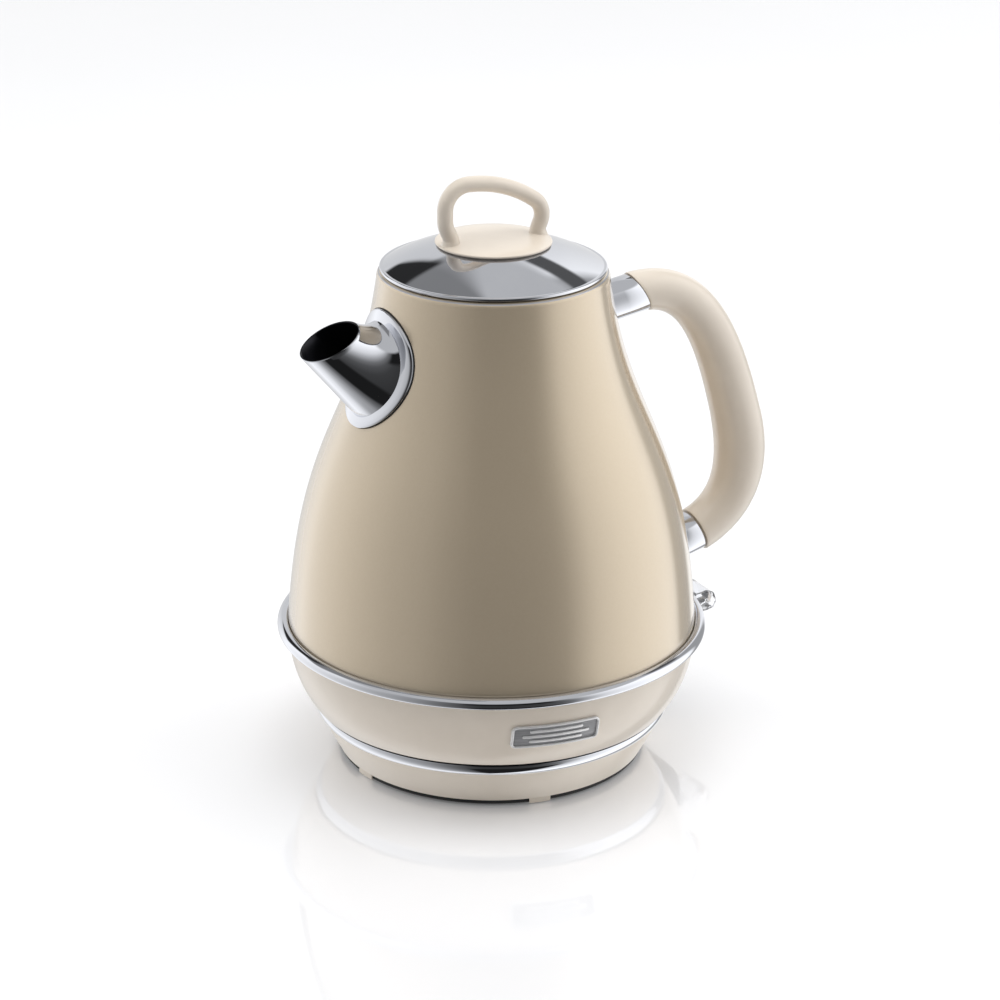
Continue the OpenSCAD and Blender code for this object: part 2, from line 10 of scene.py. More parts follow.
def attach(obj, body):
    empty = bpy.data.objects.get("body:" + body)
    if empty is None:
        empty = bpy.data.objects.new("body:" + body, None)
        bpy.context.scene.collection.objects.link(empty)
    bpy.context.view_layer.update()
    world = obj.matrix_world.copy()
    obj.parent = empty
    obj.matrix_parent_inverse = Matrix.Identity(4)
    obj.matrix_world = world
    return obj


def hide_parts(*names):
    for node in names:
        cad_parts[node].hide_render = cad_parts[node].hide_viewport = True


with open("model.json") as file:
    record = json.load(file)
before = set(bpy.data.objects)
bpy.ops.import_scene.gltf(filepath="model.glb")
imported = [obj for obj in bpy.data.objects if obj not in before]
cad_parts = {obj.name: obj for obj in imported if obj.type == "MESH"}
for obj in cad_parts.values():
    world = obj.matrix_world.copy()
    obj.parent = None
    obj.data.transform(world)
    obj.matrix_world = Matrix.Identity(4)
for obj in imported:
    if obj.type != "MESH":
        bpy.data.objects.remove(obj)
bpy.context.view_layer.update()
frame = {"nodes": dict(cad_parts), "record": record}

MM = 0.001

# ---------------------------------------------------------------- measures, in mm, as in the part's source

BELT_R, BELT_Z = 87.4, 60.0
NECK_R, NECK_Z = 48.4, 212.0
SHELL_WALL = 0.9
SHELL_LOW_Z = 56.6
BODY_CURVE = [(BELT_R, BELT_Z), (81.6, 146.3), (56.9, 148.4), (NECK_R, NECK_Z)]
SKIRT_CURVE = [(77.2, 24.6), (83.2, 32.5), (86.6, 41), (88, 56.2)]
SKIRT_WALL = 2.2
BADGE_ANGLE = -100
BADGE_Z = 41
BASE_CURVE = [(66.4, 3.1), (68.8, 8), (72, 13), (74.2, 18.9)]
BASE_WALL = 2.2
DECK_Z = 18.5
TRIM_LOW_Z, TRIM_TOP_Z = 18.9, 23.6
SPOUT_FOOT = Vector((-57.2, 0, 173.9))
SPOUT_RISE = math.radians(48.7)
SPOUT_REACH = 27.3
SPOUT_R, SPOUT_WALL = 13.1, 0.9
MOUTH_SLOPE = math.radians(26.6)
FLANGE_Z, FLANGE_R = 180, 23.7
UPPER_END, LOWER_END = (69.5, 194.6), (101.6, 79.9)
GRIP_UPPER = [UPPER_END, (95.5, 196.2), (109, 175.9), (120.4, 133.5)]
GRIP_LOWER = [(120.4, 133.5), (123.5, 121.9), (131, 91.6), LOWER_END]
GRIP_TOP_R, GRIP_MAX_R, GRIP_LOW_R = 8.9, 11.3, 10.1
OBLIQUE = 25
UPPER_FERRULE_R, UPPER_RISE = 8.7, 9
LOWER_FERRULE_R, LOWER_RISE = 9.2, 14
LID_R, RIM_Z, RIM_R = 47.2, 215.7, 0.8
CAP_R, CAP_Z, CAP_TOP = 24.3, 225.8, 228.6
LOOP_R = 3.3
LID_TURN = -2.5

# ---------------------------------------------------------------- curves and meshes


def bezier(p, n):
    """n + 1 points on a cubic Bezier curve in the plane."""
    out = []
    for i in range(n + 1):
        t = i / n
        w = ((1 - t) ** 3, 3 * t * (1 - t) ** 2, 3 * t * t * (1 - t), t ** 3)
        out.append(tuple(sum(w[k] * p[k][c] for k in range(4)) for c in (0, 1)))
    return out


def heading(p, t):
    """Unit tangent of a cubic Bezier curve at t."""
    w = ((1 - t) ** 2, 2 * t * (1 - t), t * t)
    v = Vector([sum(w[k] * (p[k + 1][c] - p[k][c]) for k in range(3)) for c in (0, 1)])
    return v.normalized()


def arc(centre, r, a, b, n):
    out = []
    for i in range(n + 1):
        g = math.radians(a + (b - a) * i / n)
        out.append((centre[0] + r * math.cos(g), centre[1] + r * math.sin(g)))
    return out


def rounded(points, steps=5):
    """A closed outline whose corners given as (x, y, radius) are rounded off."""
    out = []
    for i, p in enumerate(points):
        here = Vector(p[:2])
        if len(p) < 3:
            out.append((here.x, here.y))
            continue
        a = Vector(points[i - 1][:2]) - here
        b = Vector(points[(i + 1) % len(points)][:2]) - here
        half = a.angle(b) / 2
        cut = min(p[2] / math.tan(half), 0.48 * a.length, 0.48 * b.length)
        start, end = here + a.normalized() * cut, here + b.normalized() * cut
        for k in range(steps + 1):
            t = k / steps
            q = start * (1 - t) ** 2 + here * 2 * t * (1 - t) + end * t * t
            out.append((q.x, q.y))
    return out


def table_of(curve, n=600):
    points = sorted(bezier(curve, n), key=lambda q: q[1])
    return [q[1] for q in points], [q[0] for q in points]


BODY_TABLE = table_of(BODY_CURVE)
SKIRT_TABLE = table_of(SKIRT_CURVE)


def radius_at(table, z):
    heights, radii = table
    if z <= heights[0]:
        return radii[0]
    if z >= heights[-1]:
        return radii[-1]
    k = bisect.bisect_right(heights, z)
    t = (z - heights[k - 1]) / (heights[k] - heights[k - 1])
    return radii[k - 1] * (1 - t) + radii[k] * t


def body_r(z):
    return radius_at(BODY_TABLE, z)


def reach_body(start, step, d, low, high):
    """How far along step from start a line leaves the body's surface, d outside it."""
    for _ in range(48):
        mid = (low + high) / 2
        q = start + step * mid
        if math.hypot(q.x, q.y) > body_r(q.z) + d:
            high = mid
        else:
            low = mid
    return (low + high) / 2


def on_body(y, z, d, side):
    """The body's surface at y and z, d outside it, towards -X or +X."""
    return Vector((side * math.sqrt((body_r(z) + d) ** 2 - y * y), y, z))


def shade(obj, angle=38):
    """Smooth faces, with edges sharper than the angle kept crisp."""
    obj.data.shade_smooth()
    obj.data.set_sharp_from_angle(angle=math.radians(angle))


def new_piece(name, verts, faces, material, slot=None, body=None, angle=38):
    mesh = bpy.data.meshes.new(name)
    mesh.from_pydata([Vector(v) * MM for v in verts], [], faces)
    bm = bmesh.new()
    bm.from_mesh(mesh)
    bmesh.ops.remove_doubles(bm, verts=bm.verts, dist=1e-7)
    bmesh.ops.recalc_face_normals(bm, faces=bm.faces)
    bm.to_mesh(mesh)
    bm.free()
    obj = bpy.data.objects.new(name, mesh)
    bpy.context.scene.collection.objects.link(obj)
    for m in material if isinstance(material, list) else [material]:
        mesh.materials.append(m)
    shade(obj, angle)
    if body:
        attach(obj, body)
    return obj


def loft(rings, joined=False):
    """Vertices and faces through closed rings, capped at both ends or joined into a loop."""
    n = len(rings[0])
    verts = [v for ring in rings for v in ring]
    faces = []
    count = len(rings)
    for i in range(count if joined else count - 1):
        a, b = i * n, ((i + 1) % count) * n
        for k in range(n):
            m = (k + 1) % n
            faces.append((a + k, a + m, b + m, b + k))
    if not joined:
        faces.append(tuple(reversed(range(n))))
        faces.append(tuple(range((count - 1) * n, count * n)))
    return verts, faces


def lathe(profile, segments=256, start=0, turn=360):
    """A closed profile of radius and height, turned about Z."""
    whole = turn >= 360
    count = segments if whole else segments + 1
    rings = []
    for i in range(count):
        a = math.radians(start + turn * i / segments)
        c, s = math.cos(a), math.sin(a)
        rings.append([(r * c, r * s, z) for r, z in profile])
    return loft(rings, joined=whole)


def apply_boolean(obj, cutter, operation="DIFFERENCE", angle=38):
    """Cuts or joins two closed meshes, and removes the second one."""
    modifier = obj.modifiers.new("shape", "BOOLEAN")
    modifier.operation = operation
    modifier.solver = "EXACT"
    modifier.object = cutter
    bpy.context.view_layer.update()
    done = bpy.data.meshes.new_from_object(obj.evaluated_get(bpy.context.evaluated_depsgraph_get()))
    obj.modifiers.clear()
    old = obj.data
    materials = [m for m in old.materials]
    obj.data = done
    done.name = obj.name
    if not done.materials:
        for m in materials:
            done.materials.append(m)
    bpy.data.meshes.remove(old)
    bpy.data.objects.remove(cutter)
    shade(obj, angle)


def tool(verts, faces):
    """A closed mesh used only to cut or join."""
    mesh = bpy.data.meshes.new("tool")
    mesh.from_pydata([Vector(v) * MM for v in verts], [], faces)
    bm = bmesh.new()
    bm.from_mesh(mesh)
    bmesh.ops.remove_doubles(bm, verts=bm.verts, dist=1e-7)
    bmesh.ops.recalc_face_normals(bm, faces=bm.faces)
    bm.to_mesh(mesh)
    bm.free()
    obj = bpy.data.objects.new("tool", mesh)
    bpy.context.scene.collection.objects.link(obj)
    return obj


def rod(start, end, r, sides=64):
    """Vertices and faces of a round rod between two points."""
    start, end = Vector(start), Vector(end)
    along = (end - start).normalized()
    side = along.orthogonal().normalized()
    other = along.cross(side)
    ring = [(side * math.cos(2 * math.pi * k / sides) + other * math.sin(2 * math.pi * k / sides)) * r
            for k in range(sides)]
    return loft([[start + q for q in ring], [end + q for q in ring]])


def block(low, high):
    (x0, y0, z0), (x1, y1, z1) = low, high
    return loft([[(x0, y0, z0), (x1, y0, z0), (x1, y1, z0), (x0, y1, z0)],
                 [(x0, y0, z1), (x1, y0, z1), (x1, y1, z1), (x0, y1, z1)]])


# ---------------------------------------------------------------- materials


def surface(name, low, high, rough, metallic=0.0, scale=60.0, detail=3.0, spread=0.05, bump=0.0,
            bump_scale=400.0, stretch=(1, 1, 1), **sockets):
    """A Principled material whose colour and roughness wander a little with noise."""
    m = bpy.data.materials.new(name)
    m.use_nodes = True
    nodes, links = m.node_tree.nodes, m.node_tree.links
    shader = nodes["Principled BSDF"]
    shader.inputs["Metallic"].default_value = metallic
    for key, value in sockets.items():
        shader.inputs[key.replace("_", " ")].default_value = value
    place = nodes.new("ShaderNodeTexCoord")
    mapping = nodes.new("ShaderNodeMapping")
    mapping.inputs["Scale"].default_value = stretch
    links.new(place.outputs["Object"], mapping.inputs["Vector"])
    noise = nodes.new("ShaderNodeTexNoise")
    noise.inputs["Scale"].default_value = scale
    noise.inputs["Detail"].default_value = detail
    links.new(mapping.outputs["Vector"], noise.inputs["Vector"])
    ramp = nodes.new("ShaderNodeValToRGB")
    ramp.color_ramp.elements[0].position = 0.3
    ramp.color_ramp.elements[0].color = (*low, 1)
    ramp.color_ramp.elements[1].position = 0.7
    ramp.color_ramp.elements[1].color = (*high, 1)
    links.new(noise.outputs["Fac"], ramp.inputs["Fac"])
    links.new(ramp.outputs["Color"], shader.inputs["Base Color"])
    span = nodes.new("ShaderNodeMapRange")
    span.inputs["To Min"].default_value = max(0.0, rough - spread)
    span.inputs["To Max"].default_value = rough + spread
    links.new(noise.outputs["Fac"], span.inputs["Value"])
    links.new(span.outputs["Result"], shader.inputs["Roughness"])
    if bump:
        fine = nodes.new("ShaderNodeTexNoise")
        fine.inputs["Scale"].default_value = bump_scale
        fine.inputs["Detail"].default_value = 2.0
        links.new(mapping.outputs["Vector"], fine.inputs["Vector"])
        raised = nodes.new("ShaderNodeBump")
        raised.inputs["Strength"].default_value = bump
        raised.inputs["Distance"].default_value = 0.0002
        links.new(fine.outputs["Fac"], raised.inputs["Height"])
        links.new(raised.outputs["Normal"], shader.inputs["Normal"])
    return m


PAINT = surface("body_paint", (0.600, 0.500, 0.365), (0.612, 0.512, 0.376), 0.17, metallic=0.4,
                scale=900, spread=0.02, bump=0.03, bump_scale=1500,
                Coat_Weight=0.8, Coat_Roughness=0.03, Coat_IOR=1.5)
CREAM = surface("cream_plastic", (0.765, 0.682, 0.580), (0.795, 0.712, 0.610), 0.34, scale=90, spread=0.03,
                bump=0.02, bump_scale=900, Specular_IOR_Level=0.45, Coat_Weight=0.6, Coat_Roughness=0.12)
# painted light: a lightened copy of the cream plastic for the base, brightening it where it takes less light
# down by the floor
BASE_CREAM_PAINTED_LIGHT = surface("base_cream_painted_light", (0.87, 0.785, 0.675), (0.90, 0.815, 0.705), 0.36, scale=90, spread=0.03,
                     bump=0.02, bump_scale=900, Specular_IOR_Level=0.45, Coat_Weight=0.2, Coat_Roughness=0.2)
CHROME = surface("chrome", (0.63, 0.645, 0.69), (0.66, 0.675, 0.715), 0.04, metallic=1.0, scale=40,
                 spread=0.015)
STEEL = surface("steel", (0.50, 0.50, 0.52), (0.62, 0.62, 0.64), 0.30, metallic=1.0, scale=50,
                spread=0.08, stretch=(1, 1, 18), bump=0.05, bump_scale=500)
# painted shade: a near-black metal for the spout's bore, in place of the shade inside the vessel
BORE_PAINTED_SHADE = surface("bore_painted_shade", (0.018, 0.018, 0.022), (0.035, 0.035, 0.042), 0.30, metallic=0.8, scale=60,
                    spread=0.05)
INNER_STEEL = surface("inner_steel", (0.44, 0.44, 0.46), (0.56, 0.56, 0.58), 0.34, metallic=1.0,
                      scale=40, spread=0.07, stretch=(1, 1, 20), bump=0.05, bump_scale=300)
BLACK = surface("black_plastic", (0.010, 0.010, 0.012), (0.020, 0.020, 0.023), 0.42, scale=300,
                spread=0.08, bump=0.15, bump_scale=1200)
RUBBER = surface("rubber", (0.014, 0.014, 0.014), (0.030, 0.030, 0.030), 0.75, scale=200,
                 spread=0.08, bump=0.2, bump_scale=900)
SILICONE = surface("silicone", (0.60, 0.60, 0.58), (0.70, 0.70, 0.68), 0.5, scale=120, spread=0.06,
                   bump=0.05, Subsurface_Weight=0.1)
BRASS = surface("brass", (0.62, 0.42, 0.17), (0.78, 0.56, 0.26), 0.28, metallic=1.0, scale=120,
                spread=0.07, bump=0.05)
BADGE_BRIGHT = surface("badge_bright", (0.78, 0.78, 0.78), (0.88, 0.88, 0.88), 0.22, metallic=0.35, scale=300,
                       spread=0.05)
BADGE_GREY = surface("badge_grey", (0.27, 0.27, 0.28), (0.36, 0.36, 0.37), 0.38, metallic=0.2, scale=500,
                     spread=0.08, stretch=(0.2, 0.2, 3.0), bump=0.2, bump_scale=700)
CLEAR = surface("clear_plastic", (0.90, 0.92, 0.96), (0.96, 0.97, 1.0), 0.06, scale=150, spread=0.03,
                Transmission_Weight=0.92, IOR=1.49)
WIRE = surface("wire_red", (0.42, 0.05, 0.03), (0.56, 0.09, 0.06), 0.45, scale=200, spread=0.06,
               bump=0.05)
LAMP = surface("lamp", (0.85, 0.35, 0.15), (0.95, 0.5, 0.25), 0.12, scale=200, spread=0.04,
               Transmission_Weight=0.6, IOR=1.5)

BY_SLOT = {
    "body_paint": PAINT, "cream_plastic": CREAM, "chrome": CHROME, "steel": STEEL,
    "black_plastic": BLACK, "rubber": RUBBER, "silicone": SILICONE, "brass": BRASS,
    "badge_grey": BADGE_GREY, "clear_plastic": CLEAR, "wire_red": WIRE, "lamp": LAMP,
}

# Every carried-over node gets its slot's finish
for part in frame["record"]["subparts"]:
    node = frame["nodes"][part["node"]]
    node.data.materials.clear()
    node.data.materials.append(BY_SLOT[part["material_slot"]])

# ---------------------------------------------------------------- body shell

shoulder = (NECK_R - 2.6, NECK_Z)
outside = [(BELT_R, SHELL_LOW_Z)] + bezier(BODY_CURVE, 160) + arc(shoulder, 2.6, 8, 90, 10)
inner = [(44.9, NECK_Z + 2.6), (44.9, NECK_Z + 2.6 - SHELL_WALL), (45.8, NECK_Z + 2.6 - SHELL_WALL)]
inner += [(r - SHELL_WALL, z) for r, z in reversed(bezier(BODY_CURVE, 80))]
inner += [(BELT_R - SHELL_WALL, SHELL_LOW_Z)]
verts, faces = lathe(outside + inner, 320)
body = new_piece("body", verts, faces, [PAINT, INNER_STEEL], "body_paint", "kettle")
axis = Vector((-math.cos(SPOUT_RISE), 0, math.sin(SPOUT_RISE)))
apply_boolean(body, tool(*rod(SPOUT_FOOT - axis * 20, SPOUT_FOOT + axis * 20, SPOUT_R - 0.6, 96)))
# the inside of the shell is bare steel
for face in body.data.polygons:
    c = face.center / MM
    if math.hypot(c.x, c.y) < body_r(c.z) - 0.6 * SHELL_WALL and c.z < NECK_Z + 2.2:
        face.material_index = 1
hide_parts("body_shell")

# ---------------------------------------------------------------- belt ring, skirt, trim ring, base

ring_profile = [(BELT_R + 0.3, 56.3), (BELT_R + 0.3, BELT_Z)]
ring_profile += bezier([(88.1, 60.3), (90.4, 60.3), (92, 59), (92, 57.4)], 24)
ring_profile += bezier([(92, 57.4), (92, 56.2), (90.6, 55.4), (88.1, 55.4)], 18)[1:] + [(88.1, 56.3)]
belt = new_piece("belt", *lathe(ring_profile, 320), CHROME, "chrome", "kettle", 50)
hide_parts("belt_ring")

skirt_out = bezier(SKIRT_CURVE, 60)
skirt_in = [(min(r - SKIRT_WALL, BELT_R - 2), z) for r, z in reversed(bezier(SKIRT_CURVE, 30))]
skirt_profile = rounded([(*skirt_in[-1],)] + [(skirt_out[0][0] - 0.1, skirt_out[0][1], 0.5)]
                        + skirt_out[1:], 4) + skirt_in[:-1]
skirt = new_piece("skirt_panel", *lathe(skirt_profile, 320), CREAM, "cream_plastic", "kettle")
apply_boolean(skirt, tool(*block((60, -13, 20), (100, 13, 54))))
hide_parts("skirt")

trim_profile = [(71.7, TRIM_LOW_Z), (74.6, TRIM_LOW_Z)]
trim_profile += bezier([(74.8, 19), (76.2, 20.4), (77, 22.6), (76.3, TRIM_TOP_Z)], 24)
trim_profile += [(73.4, TRIM_TOP_Z), (71.7, 22)]
trim = new_piece("trim_ring", *lathe(trim_profile, 320), CHROME, "chrome", "power_base", 50)
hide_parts("base_trim_ring")

base_out = bezier(BASE_CURVE, 40)
base_in = [(r - BASE_WALL, min(z, DECK_Z - BASE_WALL)) for r, z in reversed(bezier(BASE_CURVE, 20))]
base_profile = base_out + [(71.6, TRIM_LOW_Z), (71.6, DECK_Z), (20, DECK_Z), (20, DECK_Z - BASE_WALL)]
base_profile += [q for i, q in enumerate(base_in) if i == 0 or q != base_in[i - 1]]
# the base wears the lightened cream, which is painted light
base = new_piece("base_housing", *lathe(base_profile, 320), BASE_CREAM_PAINTED_LIGHT, "cream_plastic", "power_base")
for i in range(5):
    tab = [(64.6, 0.8), (66.2, 0.8), (66.32, 3.6), (64.9, 3.6)]
    apply_boolean(base, tool(*lathe(tab, 12, BADGE_ANGLE - 4 + 72 * i, 8)), "UNION")
apply_boolean(base, tool(*rod((60, 0, 10), (80, 0, 10), 5.2)))
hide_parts("base_shell")
# the black underside of the base, carried out to just inside the base's edge: partly the real black plate,
# partly painted shade filling the shadowed gap under the edge; it shows as a black line over the floor
lip_and_shade_profile = [(61, 0.9), (65.2, 0.9), (65.7, 1.5), (65.7, 3.0), (61, 3.0)]
lip = new_piece("base_lip_and_shade", *lathe(lip_and_shade_profile, 256), RUBBER, "black_plastic", "power_base")

# ---------------------------------------------------------------- badge


def rounded_box(w, h, corner, n=8, along=16):
    """A rounded rectangle from its right side round over the top, with points along its long edges."""
    out = []
    for sx, sy, a in ((1, 1, 0), (-1, 1, 90), (-1, -1, 180), (1, -1, 270)):
        out += arc((sx * (w / 2 - corner), sy * (h / 2 - corner)), corner, a, a + 90, n)
        if a in (0, 180):
            x, y = out[-1]
            out += [(x - 2 * x * k / along, y) for k in range(1, along)]
    return out


def on_skirt(u, v, out):
    """A point u round and v up from the badge's middle, out from the skirt's face."""
    r = radius_at(SKIRT_TABLE, BADGE_Z + v) + out
    a = math.radians(BADGE_ANGLE) + math.asin(u / r)
    return (r * math.cos(a), r * math.sin(a), BADGE_Z + v)


frame_section = [(0, 0.02), (0, 0.95), (0.12, 1.22), (0.36, 1.38), (0.62, 1.38), (0.88, 1.22),
                 (1.08, 0.9), (1.08, 0.02)]
rings = [[on_skirt(u, v, out) for u, v in rounded_box(38 - 2 * i, 11 - 2 * i, 2.4 - i, 8)]
         for i, out in frame_section]
badge_rim = new_piece("badge_rim", *loft(rings, True), BADGE_BRIGHT, "chrome", "kettle", 60)
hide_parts("badge_frame")


def slab(w, h, corner, low, high, soften, up=0):
    """A filled rounded plate on the skirt's face, from low to high, with a softened edge."""
    sections = [(0, low), (0, high - soften), (soften * 0.3, high - soften * 0.3), (soften, high)]
    loops = [[on_skirt(u, v + up, out) for u, v in rounded_box(w - 2 * i, h - 2 * i, corner - i, 6)]
             for i, out in sections]
    v0, f0 = loft(loops)
    f0 = f0[:-2]
    n = len(loops[0])
    # both faces are filled by upright strips, so that they follow the skirt
    for start, flip in ((0, True), ((len(loops) - 1) * n, False)):
        for k in range(n // 2 - 1):
            quad = (start + k, start + k + 1, start + n - 2 - k, start + n - 1 - k)
            f0.append(tuple(reversed(quad)) if flip else quad)
    return v0, f0


badge = new_piece("badge_face", *slab(35.7, 8.7, 1.3, 0.02, 0.5, 0.1), BADGE_GREY, "badge_grey",
                  "kettle", 50)
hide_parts("badge_plate")
for i, bar_w in ((-1, 23), (0, 29), (1, 23)):
    new_piece(f"badge_rib_{i + 2}", *slab(bar_w, 1.4, 0.68, 0.45, 0.95, 0.3, 2.5 * i), BADGE_BRIGHT,
              "chrome", "kettle", 50)

# ---------------------------------------------------------------- spout

up_side = Vector((math.sin(SPOUT_RISE), 0, math.cos(SPOUT_RISE)))
mouth_middle = SPOUT_FOOT + axis * SPOUT_REACH
mouth_normal = Vector((-math.sin(MOUTH_SLOPE), 0, math.cos(MOUTH_SLOPE)))
FACE = 1.6
sides = 128
spout_rings = []
for k in range(sides):
    a = 2 * math.pi * k / sides
    c, s = math.cos(a), math.sin(a)

    def tube(r):
        return SPOUT_FOOT + up_side * (r * c) + Vector((0, r * s, 0))

    def to_mouth(r):
        return (mouth_middle - tube(r)).dot(mouth_normal) / axis.dot(mouth_normal)

    def flange(r, d):
        return on_body(r * s, FLANGE_Z + r * c, d, -1)

    line = tube(SPOUT_R)
    crossing = reach_body(line, axis, FACE, -40, 40)
    foot = line + axis * crossing
    away = math.hypot(foot.y, foot.z - FLANGE_Z)
    seat_r = max(18.9, away + 0.7)
    seat = flange(seat_r, FACE)
    inner_line = tube(SPOUT_R - SPOUT_WALL)
    inner_foot = inner_line + axis * reach_body(inner_line, axis, 0.5, -40, 40)
    mouth = line + axis * to_mouth(SPOUT_R)
    inner_mouth = inner_line + axis * to_mouth(SPOUT_R - SPOUT_WALL)
    across = (inner_mouth - mouth).normalized()
    ring = [inner_mouth - axis * 0.3, inner_mouth - across * 0.25, mouth + across * 0.25,
            mouth - axis * 0.3]
    start = mouth - axis * 0.3
    middle = (start.lerp(seat, 0.55)).lerp(foot, 0.28)
    for t in range(1, 20):
        t /= 20
        ring.append(start * (1 - t) ** 2 + middle * 2 * t * (1 - t) + seat * t * t)
    ring.append(seat)
    outer_r = 22.9
    ring += [seat.lerp(flange(outer_r, FACE), t) for t in (0.03, 0.5)]
    ring += [flange(r, d) for r, d in ((outer_r, FACE), (23.35, 1.48), (23.62, 1.2), (FLANGE_R, 0.9),
                                       (FLANGE_R, 0.52), (23.2, 0.5))]
    ring += [inner_foot]
    ring += [inner_foot.lerp(inner_mouth, t) for t in (0.25, 0.5, 0.75)]
    spout_rings.append(ring)
spout = new_piece("spout_tube", *loft(spout_rings, True), [CHROME, BORE_PAINTED_SHADE], "chrome", "kettle", 40)
# painted shade: the bore's faces get a near-black colour that stands in for the shade inside the vessel
for face in spout.data.polygons:
    c = face.center / MM - SPOUT_FOOT
    if (c - axis * c.dot(axis)).length < SPOUT_R - 0.55 * SPOUT_WALL:
        face.material_index = 1
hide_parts("spout")

# ---------------------------------------------------------------- handle


def grip_at(s):
    curve, t = (GRIP_UPPER, s) if s <= 1 else (GRIP_LOWER, s - 1)
    w = ((1 - t) ** 3, 3 * t * (1 - t) ** 2, 3 * t * t * (1 - t), t ** 3)
    point = Vector([sum(w[k] * curve[k][c] for k in range(4)) for c in (0, 1)])
    return point, heading(curve, t)


def grip_r(s):
    if s < 1.35:
        return GRIP_TOP_R + (GRIP_MAX_R - GRIP_TOP_R) * (1 - math.cos(math.pi * s / 1.35)) / 2
    return GRIP_MAX_R + (GRIP_LOW_R - GRIP_MAX_R) * (1 - math.cos(math.pi * (s - 1.35) / 0.65)) / 2


def grip_ring(s, inset=0.0, shift=0.0, count=72):
    point, t = grip_at(s)
    point = point + t * shift
    r = grip_r(s) - inset
    lean = math.tan(math.radians(OBLIQUE * (1 - s / 0.3) if s < 0.3 else 0))
    out = []
    for k in range(count):
        a = 2 * math.pi * k / count
        u = r * math.cos(a)
        out.append((point.x - t.y * u - t.x * u * lean, r * math.sin(a),
                    point.y + t.x * u - t.y * u * lean))
    return out


steps = 140
rings = [grip_ring(0, 0.9), grip_ring(0, 0.45), grip_ring(0, 0.12, 0.12)]
rings += [grip_ring(0.006 + (2 - 0.012) * i / steps) for i in range(steps + 1)]
rings += [grip_ring(2, 0.12, -0.12), grip_ring(2, 0.45), grip_ring(2, 0.9)]
grip = new_piece("grip", *loft(rings), CREAM, "cream_plastic", "kettle", 50)
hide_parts("handle_grip")

upper_slope = math.degrees(math.atan2(GRIP_UPPER[1][1] - GRIP_UPPER[0][1],
                                      GRIP_UPPER[1][0] - GRIP_UPPER[0][0]))
lower_slope = math.degrees(math.atan2(GRIP_LOWER[2][1] - GRIP_LOWER[3][1],
                                      GRIP_LOWER[2][0] - GRIP_LOWER[3][0]))


def ferrule(name, end, rise, r, seam, node):
    """A chrome sleeve from the body's surface to the grip's end face."""
    rise, seam = math.radians(rise), math.radians(seam)
    end = Vector((end[0], 0, end[1]))
    along = Vector((math.cos(rise), 0, math.sin(rise)))
    over = Vector((-math.sin(rise), 0, math.cos(rise)))
    face = Vector((math.cos(seam), 0, math.sin(seam)))
    rings = []
    for k in range(96):
        a = 2 * math.pi * k / 96
        line = []
        for inset, back in ((0, 0.3), (0.12, 0.1), (0.35, 0.03), (1.2, 0.03)):
            start = end + (over * math.cos(a) + Vector((0, math.sin(a), 0))) * (r - inset)
            reach = (end - start).dot(face) / along.dot(face)
            line.append(start + along * (reach - back))
        start = end + (over * math.cos(a) + Vector((0, math.sin(a), 0))) * r
        foot = start + along * reach_body(start, along, 0.03, -60, 5)
        neck = end + (over * math.cos(a) + Vector((0, math.sin(a), 0))) * (r - 1.2)
        inner_foot = neck + along * reach_body(neck, along, 0.03, -60, 5)
        rings.append([inner_foot, foot, foot.lerp(line[0], 0.02), foot.lerp(line[0], 0.5)] + line)
    obj = new_piece(name, *loft(rings, True), CHROME, "chrome", "kettle", 40)
    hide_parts(node)
    return obj


ferrule("ferrule_top", UPPER_END, UPPER_RISE, UPPER_FERRULE_R, OBLIQUE + upper_slope, "upper_ferrule")
ferrule("ferrule_low", LOWER_END, LOWER_RISE, LOWER_FERRULE_R, lower_slope, "lower_ferrule")

# ---------------------------------------------------------------- lid

top = 225.55
cone_out = bezier([(LID_R - 0.8, RIM_Z + 0.4), (41, 219.2), (33, 222.7), (23.4, top)], 40)
cone_in = bezier([(LID_R - 1.4, RIM_Z - 0.3), (40.6, 218.4), (32.6, 221.9), (23.1, top - 0.8)], 24)
rim = arc((LID_R - RIM_R, RIM_Z), RIM_R, -170, 78, 18)
cone_profile = rim + cone_out[1:] + [(8, top), (8, top - 0.8)] + list(reversed(cone_in))
cone = new_piece("cone", *lathe(cone_profile, 320), CHROME, "chrome", "lid", 60)
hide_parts("lid_cone")

dome = bezier([(0, CAP_TOP), (12, CAP_TOP), (20, 227.8), (CAP_R - 0.7, CAP_Z + 1.1)], 30)
cap_profile = dome + arc((CAP_R - 0.6, CAP_Z + 0.6), 0.6, 60, -90, 8)[1:]
cap_profile += [(22.8, CAP_Z), (22.6, 225.6), (0, 225.6)]
knob = new_piece("knob", *lathe(cap_profile, 256), CREAM, "cream_plastic", "lid", 50)


def walk(steps, point, angle):
    """Points and headings along straights (0, length) and arcs (radius, turn); negative arcs turn left."""
    out = [(point, angle)]
    for r, turn in steps:
        n = 6 if r == 0 else max(4, int(abs(turn) / 3))
        start, centre = point, None
        if r:
            g = math.radians(angle)
            centre = point + Vector((math.sin(g), -math.cos(g))) * r
        for i in range(1, n + 1):
            if r == 0:
                g = math.radians(angle)
                out.append((start + Vector((math.cos(g), math.sin(g))) * (turn * i / n), angle))
            else:
                g = math.radians(angle - turn * i / n)
                out.append((centre + Vector((-math.sin(g), math.cos(g))) * r, math.degrees(g)))
        point, angle = out[-1]
    return out


path = walk([(0, 2.1), (-5, -25), (0, 3), (10, 25), (0, 3.74), (10.4, 90), (51.5, 36), (8.1, 76),
             (0, 2.05), (-5, -22), (0, 2.1)], Vector((-19.3, 226.5)), 90)
foot_z = 227.6


def flare(z):
    """The loop widens where it grows out of the cap."""
    t = max(0.0, 1 - (z - foot_z) / 3.2)
    return 0.6 * t ** 2.2


